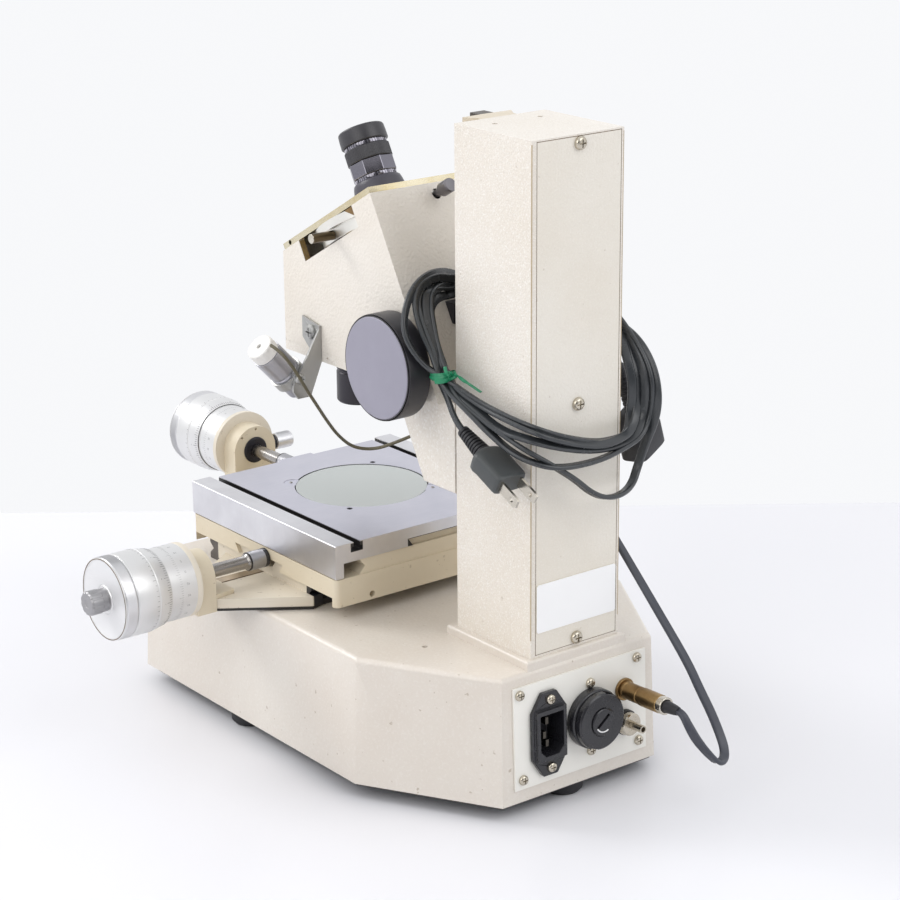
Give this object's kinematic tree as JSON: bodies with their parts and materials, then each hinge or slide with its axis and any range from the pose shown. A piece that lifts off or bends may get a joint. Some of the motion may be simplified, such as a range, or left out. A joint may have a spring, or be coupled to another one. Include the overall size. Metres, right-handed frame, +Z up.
{
  "type": "toolmakers microscope",
  "caption": "Measuring microscope on a cast base and column, with an X-Y micrometer stage, an inclined protractor head, a surface lamp and rack focusing.",
  "frame": {"origin": "centre of the bounding box of the instrument without its cords, at the level of the feet", "axes": "+Z up, -Y towards the operator, +X towards the operator's right"},
  "size_m": [0.2968, 0.464, 0.375],
  "materials": {
    "hammer_enamel": "hammer-finish enamel",
    "dark_plate": "black enamel",
    "black_rubber": "matt",
    "bright_steel": "turned",
    "nickel_steel": "bright plated",
    "black_steel": "blackened",
    "cream_metal": "smooth enamel",
    "ground_metal": "ground",
    "aluminium": "satin",
    "passivated_plate": "passivated",
    "panel_aluminium": "satin",
    "black_plastic": "moulded",
    "white_plastic": "moulded",
    "brass": "tarnished",
    "glass": "clear",
    "transformer_iron": "laminated",
    "cord_black": "satin",
    "cord_olive": "satin",
    "tie_green": "ribbon"
  },
  "bodies": {
    "frame": {"base_casting": "hammer_enamel", "base_bottom_plate": "dark_plate", "rubber_feet": "black_rubber", "column_casting": "hammer_enamel", "column_rear_cover": "hammer_enamel", "frame_screws": "nickel_steel", "guide_rail": "bright_steel", "rear_panel": "panel_aluminium", "mains_inlet": "black_plastic", "panel_terminals": "nickel_steel", "fuse_holder_body": "black_plastic", "lamp_connector": "brass", "lamp_lead_flex": "cord_black", "switch_body": "black_plastic", "transformer": "transformer_iron", "contour_lamp_tube": "aluminium", "base_optics": "glass", "x_slide_base": "cream_metal", "x_micrometer_bracket": "cream_metal", "x_micrometer_sleeve": "aluminium"},
    "fuse_cap": {"fuse_cap": "black_plastic"},
    "power_rocker": {"power_rocker": "black_plastic"},
    "x_spindle": {"x_spindle": "bright_steel"},
    "x_thimble": {"x_thimble": "aluminium"},
    "x_lock_screw": {"x_lock_screw": "nickel_steel"},
    "saddle": {"saddle": "cream_metal", "y_micrometer_bracket": "cream_metal", "y_micrometer_sleeve": "aluminium"},
    "table": {"stage_table": "ground_metal", "stage_glass": "glass", "glass_clips": "black_steel"},
    "y_spindle": {"y_spindle": "bright_steel"},
    "y_thimble": {"y_thimble": "aluminium"},
    "y_lock_screw": {"y_lock_screw": "nickel_steel"},
    "carriage": {"carriage_arm": "hammer_enamel", "head_bottom_plate": "hammer_enamel", "head_housing": "hammer_enamel", "head_top_plate": "passivated_plate", "eyepiece_tube": "nickel_steel", "objective_barrel": "black_steel", "head_optics": "glass", "pinion_bushes": "brass", "pinion_cover": "black_steel", "lead_clip": "black_plastic", "lamp_lead_thin": "cord_olive", "mains_lead_coil": "cord_black", "twist_tie": "tie_green", "mains_plug": "black_plastic", "inlet_connector": "black_plastic"},
    "pinion": {"pinion_shaft": "bright_steel", "focus_handwheels": "black_plastic"},
    "dial": {"protractor_dial": "aluminium", "dial_lever": "nickel_steel"},
    "dial_lock_knob": {"dial_lock_knob": "nickel_steel"},
    "eyepiece": {"eyepiece_body": "black_steel", "eyepiece_lenses": "glass"},
    "surface_lamp": {"lamp_bracket": "aluminium", "lamp_barrel": "aluminium", "lamp_rear_cap": "white_plastic", "lamp_glass": "glass"}
  },
  "joints": [
    {"name": "focus_slide", "type": "slide", "parent": "frame", "child": "carriage", "axis": [0, 0, 1], "range_m": [-0.028, 0.07], "deforming": ["lamp_lead_flex"]},
    {"name": "focus_pinion", "type": "hinge", "parent": "carriage", "child": "pinion", "pos_m": [-0.0481, 0.0871, 0.238], "axis": [1, 0, 0], "range_deg": [-336, 135]},
    {"name": "x_travel", "type": "slide", "parent": "frame", "child": "saddle", "axis": [1, 0, 0], "range_m": [-0.0125, 0.0125]},
    {"name": "x_spindle_feed", "type": "slide", "parent": "frame", "child": "x_spindle", "axis": [1, 0, 0], "range_m": [-0.0126, 0.0126]},
    {"name": "x_thimble_turn", "type": "hinge", "parent": "x_spindle", "child": "x_thimble", "pos_m": [0.0274, -0.0074, 0.1035], "axis": [1, 0, 0], "range_deg": [-4578, 4578]},
    {"name": "x_lock_turn", "type": "hinge", "parent": "frame", "child": "x_lock_screw", "pos_m": [0.0784, -0.0074, 0.1035], "axis": [0, -1, 0], "range_deg": [0, 90]},
    {"name": "y_travel", "type": "slide", "parent": "saddle", "child": "table", "axis": [0, 1, 0], "range_m": [-0.0125, 0.0125]},
    {"name": "y_spindle_feed", "type": "slide", "parent": "saddle", "child": "y_spindle", "axis": [0, 1, 0], "range_m": [-0.0126, 0.0126]},
    {"name": "y_thimble_turn", "type": "hinge", "parent": "y_spindle", "child": "y_thimble", "pos_m": [-0.0481, -0.0862, 0.1237], "axis": [0, 1, 0], "range_deg": [-4578, 4578]},
    {"name": "y_lock_turn", "type": "hinge", "parent": "saddle", "child": "y_lock_screw", "pos_m": [-0.0481, -0.1372, 0.1237], "axis": [-1, 0, 0], "range_deg": [0, 90]},
    {"name": "dial_turn", "type": "hinge", "parent": "carriage", "child": "dial", "pos_m": [-0.0481, 0.01412, 0.30895], "axis": [0, -0.4879, 0.8729], "range_deg": [-38, 28]},
    {"name": "dial_lock_turn", "type": "hinge", "parent": "carriage", "child": "dial_lock_knob", "pos_m": [-0.0521, 0.05838, 0.322], "axis": [0, 0.8729, 0.4879], "range_deg": [-90, 180]},
    {"name": "eyepiece_focus", "type": "hinge", "parent": "carriage", "child": "eyepiece", "pos_m": [-0.0481, 0.01412, 0.30895], "axis": [0, -0.4879, 0.8729], "range_deg": [-150, 150]},
    {"name": "lamp_swivel", "type": "hinge", "parent": "carriage", "child": "surface_lamp", "pos_m": [-0.0081, -0.0023, 0.2366], "axis": [1, 0, 0], "range_deg": [-8, 8]},
    {"name": "fuse_cap_turn", "type": "hinge", "parent": "frame", "child": "fuse_cap", "pos_m": [-0.0553, 0.18955, 0.0466], "axis": [0, 0.9994, 0.0359], "range_deg": [0, 60]},
    {"name": "power_switch", "type": "hinge", "parent": "frame", "child": "power_rocker", "pos_m": [-0.0931, -0.10643, 0.05], "axis": [0, 0.0359, 0.9994], "range_deg": [0, 15]}
  ],
  "couplings": [
    {"joint": "focus_pinion", "follows": "focus_slide", "rad_per_m": -83.333},
    {"joint": "x_spindle_feed", "follows": "x_travel", "ratio": 1},
    {"joint": "x_thimble_turn", "follows": "x_travel", "rad_per_m": 6283.2},
    {"joint": "y_spindle_feed", "follows": "y_travel", "ratio": 1},
    {"joint": "y_thimble_turn", "follows": "y_travel", "rad_per_m": 6283.2}
  ]
}
